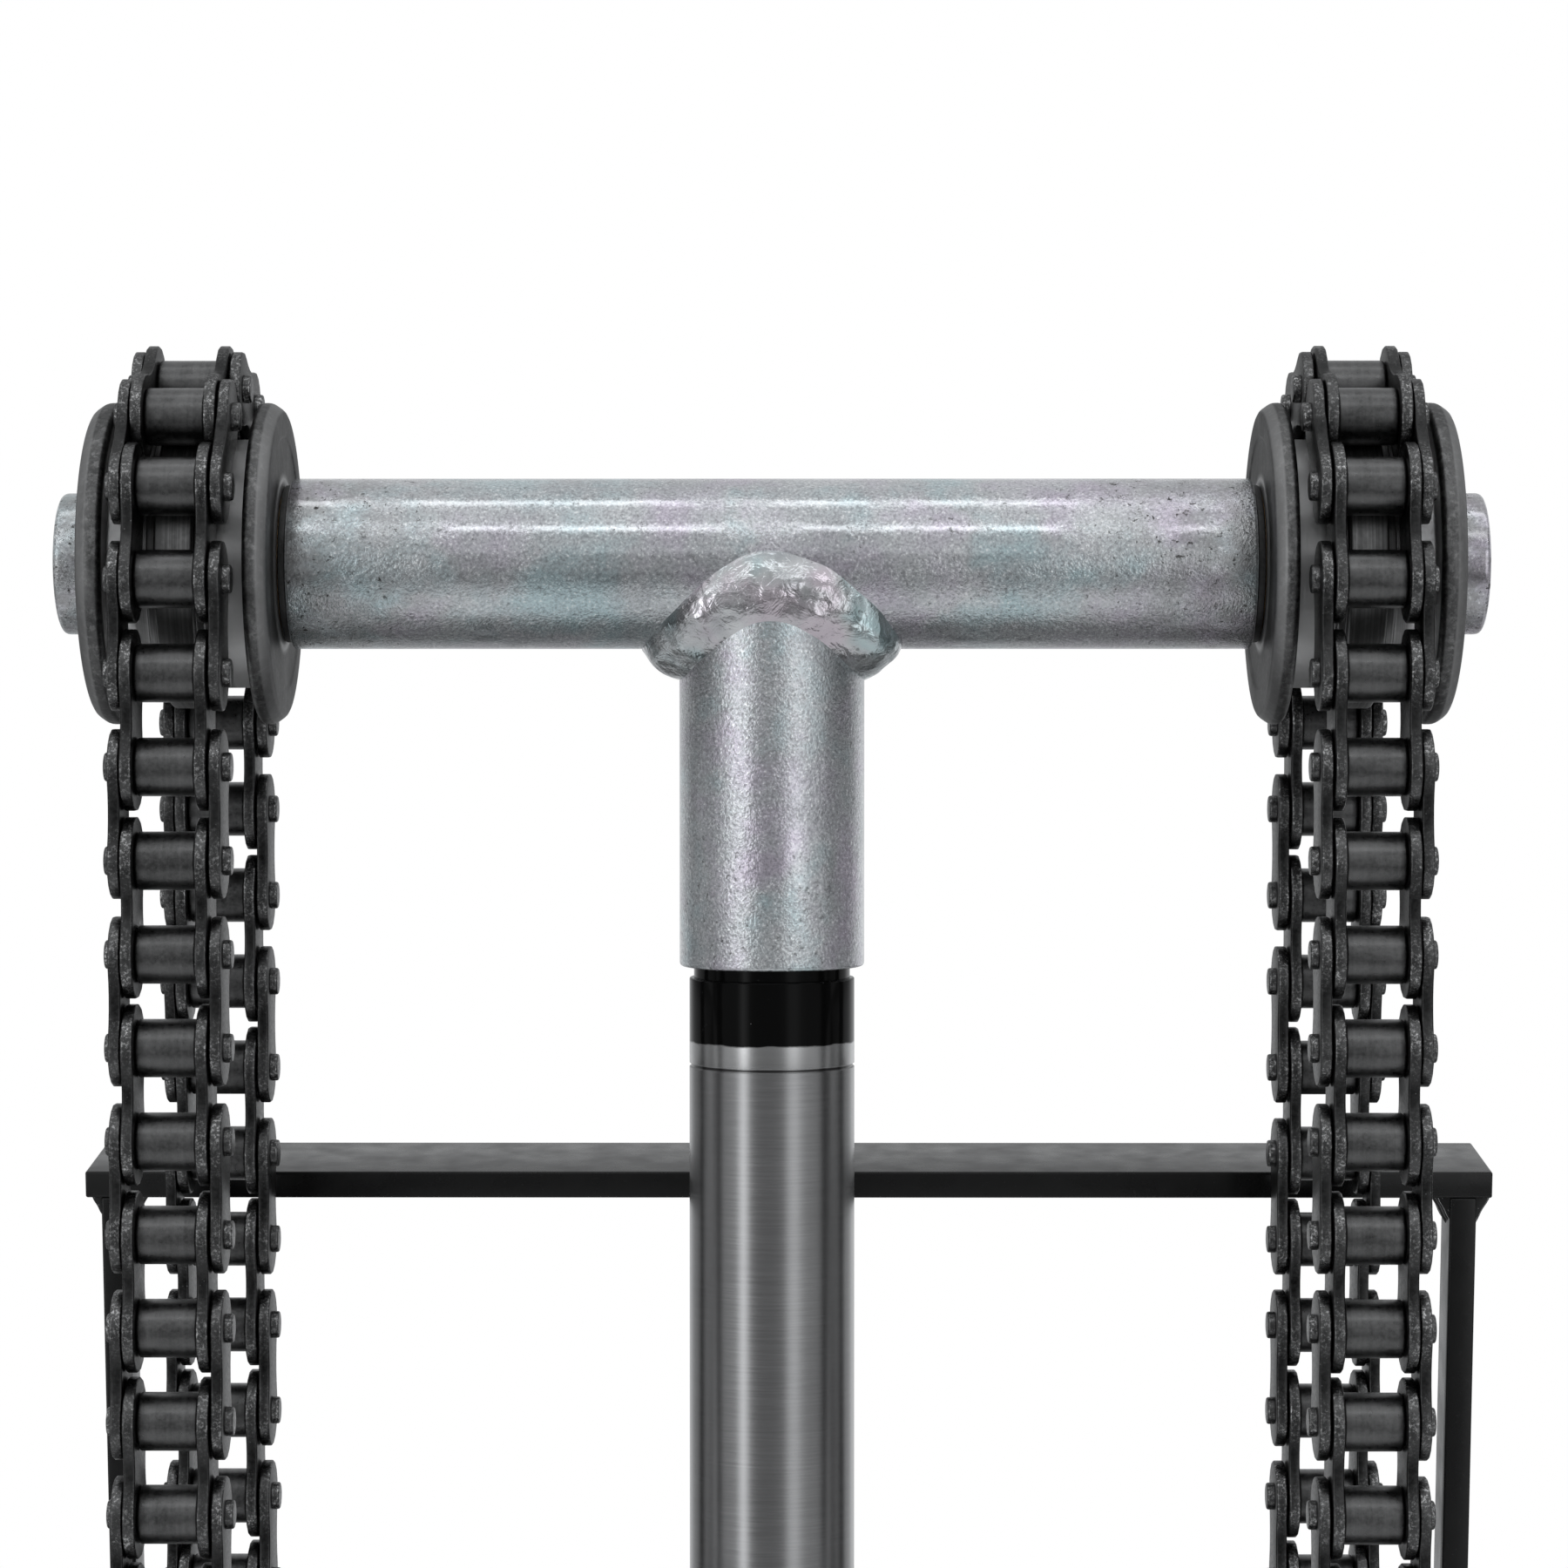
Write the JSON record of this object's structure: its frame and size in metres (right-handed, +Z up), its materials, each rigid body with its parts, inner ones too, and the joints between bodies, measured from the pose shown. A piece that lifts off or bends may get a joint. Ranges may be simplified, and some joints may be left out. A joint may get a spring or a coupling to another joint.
{
  "type": "chain lift ram",
  "caption": "Hydraulic ram with a crosshead, a flanged roller at each end and a roller chain over each, in front of a leaning flat-bar frame.",
  "frame": {"origin": "middle of the base plate's underside, below the ram's centre line", "axes": "+Z up along the ram, +X along the crosshead, +Y from the ram back to the frame"},
  "size_m": [0.34, 0.26, 0.6456],
  "materials": {
    "black_paint": "semi-gloss black paint",
    "zinc_plate": "zinc plated, sparkling",
    "bright_washer": "turned bright",
    "dark_washer": "oiled, dark",
    "gland_steel": "turned",
    "rod_steel": "ground and polished",
    "machined_steel": "turned",
    "bronze": "plain bearing bronze",
    "seal_rubber": "matt",
    "wear_plastic": "matt",
    "roller_steel": "raw turned, darkened",
    "chain_plate_steel": "dark, worn bright on edges",
    "chain_roller_steel": "satin dark",
    "nut_steel": "zinc plated",
    "anchor_steel": "dark forged"
  },
  "bodies": {
    "frame_and_cylinder": {"base_plate": "black_paint", "cylinder_base_cap": "black_paint", "cylinder_barrel": "black_paint", "port_boss": "black_paint", "gland": "gland_steel", "rod_guide_bush": "bronze", "rod_seal": "seal_rubber", "rod_wiper": "seal_rubber", "frame_top_bar": "black_paint", "upright_left": "black_paint", "upright_right": "black_paint", "frame_welds": "black_paint"},
    "ram": {"piston_rod": "rod_steel", "piston": "machined_steel", "piston_seal": "seal_rubber", "piston_wear_ring": "wear_plastic", "piston_nut": "machined_steel", "crosshead_tube": "zinc_plate", "rod_socket": "zinc_plate", "crosshead_weld": "zinc_plate", "axle_left": "zinc_plate", "outer_washer_left": "bright_washer", "thrust_washer_left": "dark_washer", "chain_left_wrap_outer_links": "chain_plate_steel", "chain_left_wrap_inner_links": "chain_plate_steel", "chain_left_wrap_rollers": "chain_roller_steel", "axle_right": "zinc_plate", "outer_washer_right": "bright_washer", "thrust_washer_right": "dark_washer", "chain_right_wrap_outer_links": "chain_plate_steel", "chain_right_wrap_inner_links": "chain_plate_steel", "chain_right_wrap_rollers": "chain_roller_steel"},
    "roller_left": {"flanged_roller_left": "roller_steel", "roller_bush_left": "bronze"},
    "strand_left_front": {"chain_left_front_outer_links": "chain_plate_steel", "chain_left_front_inner_links": "chain_plate_steel", "chain_left_front_rollers": "chain_roller_steel"},
    "anchor_left_front": {"anchor_clevis_left_front": "anchor_steel", "anchor_pin_left_front": "anchor_steel", "anchor_nuts_left_front": "nut_steel"},
    "strand_left_back": {"chain_left_back_outer_links": "chain_plate_steel", "chain_left_back_inner_links": "chain_plate_steel", "chain_left_back_rollers": "chain_roller_steel"},
    "anchor_left_back": {"anchor_clevis_left_back": "anchor_steel", "anchor_pin_left_back": "anchor_steel", "anchor_nuts_left_back": "nut_steel"},
    "roller_right": {"flanged_roller_right": "roller_steel", "roller_bush_right": "bronze"},
    "strand_right_front": {"chain_right_front_outer_links": "chain_plate_steel", "chain_right_front_inner_links": "chain_plate_steel", "chain_right_front_rollers": "chain_roller_steel"},
    "anchor_right_front": {"anchor_clevis_right_front": "anchor_steel", "anchor_pin_right_front": "anchor_steel", "anchor_nuts_right_front": "nut_steel"},
    "strand_right_back": {"chain_right_back_outer_links": "chain_plate_steel", "chain_right_back_inner_links": "chain_plate_steel", "chain_right_back_rollers": "chain_roller_steel"},
    "anchor_right_back": {"anchor_clevis_right_back": "anchor_steel", "anchor_pin_right_back": "anchor_steel", "anchor_nuts_right_back": "nut_steel"}
  },
  "joints": [
    {"name": "ram_lift", "type": "slide", "parent": "frame_and_cylinder", "child": "ram", "axis": [0, 0, 1], "range_m": [-0.14, 0.105]},
    {"name": "roller_spin_left", "type": "hinge", "parent": "ram", "child": "roller_left", "pos_m": [-0.1222, 0, 0.6], "axis": [1, 0, 0], "continuous": true},
    {"name": "strand_swing_left_front", "type": "hinge", "parent": "ram", "child": "strand_left_front", "pos_m": [-0.1222, -0.03662, 0.59604], "axis": [1, 0, 0], "range_deg": [-12, 3]},
    {"name": "anchor_swing_left_front", "type": "hinge", "parent": "strand_left_front", "child": "anchor_left_front", "pos_m": [-0.1222, -0.03683, 0.36744], "axis": [1, 0, 0], "range_deg": [-8, 8]},
    {"name": "strand_swing_left_back", "type": "hinge", "parent": "ram", "child": "strand_left_back", "pos_m": [-0.1222, 0.03661, 0.60406], "axis": [1, 0, 0], "range_deg": [-3, 0.5]},
    {"name": "anchor_swing_left_back", "type": "hinge", "parent": "strand_left_back", "child": "anchor_left_back", "pos_m": [-0.1222, 0.03683, 0.35641], "axis": [1, 0, 0], "range_deg": [-8, 8]},
    {"name": "roller_spin_right", "type": "hinge", "parent": "ram", "child": "roller_right", "pos_m": [0.1222, 0, 0.6], "axis": [1, 0, 0], "continuous": true},
    {"name": "strand_swing_right_front", "type": "hinge", "parent": "ram", "child": "strand_right_front", "pos_m": [0.1222, -0.03662, 0.59604], "axis": [1, 0, 0], "range_deg": [-12, 3]},
    {"name": "anchor_swing_right_front", "type": "hinge", "parent": "strand_right_front", "child": "anchor_right_front", "pos_m": [0.1222, -0.03683, 0.36744], "axis": [1, 0, 0], "range_deg": [-8, 8]},
    {"name": "strand_swing_right_back", "type": "hinge", "parent": "ram", "child": "strand_right_back", "pos_m": [0.1222, 0.03661, 0.60406], "axis": [1, 0, 0], "range_deg": [-3, 0.5]},
    {"name": "anchor_swing_right_back", "type": "hinge", "parent": "strand_right_back", "child": "anchor_right_back", "pos_m": [0.1222, 0.03683, 0.35641], "axis": [1, 0, 0], "range_deg": [-8, 8]}
  ]
}
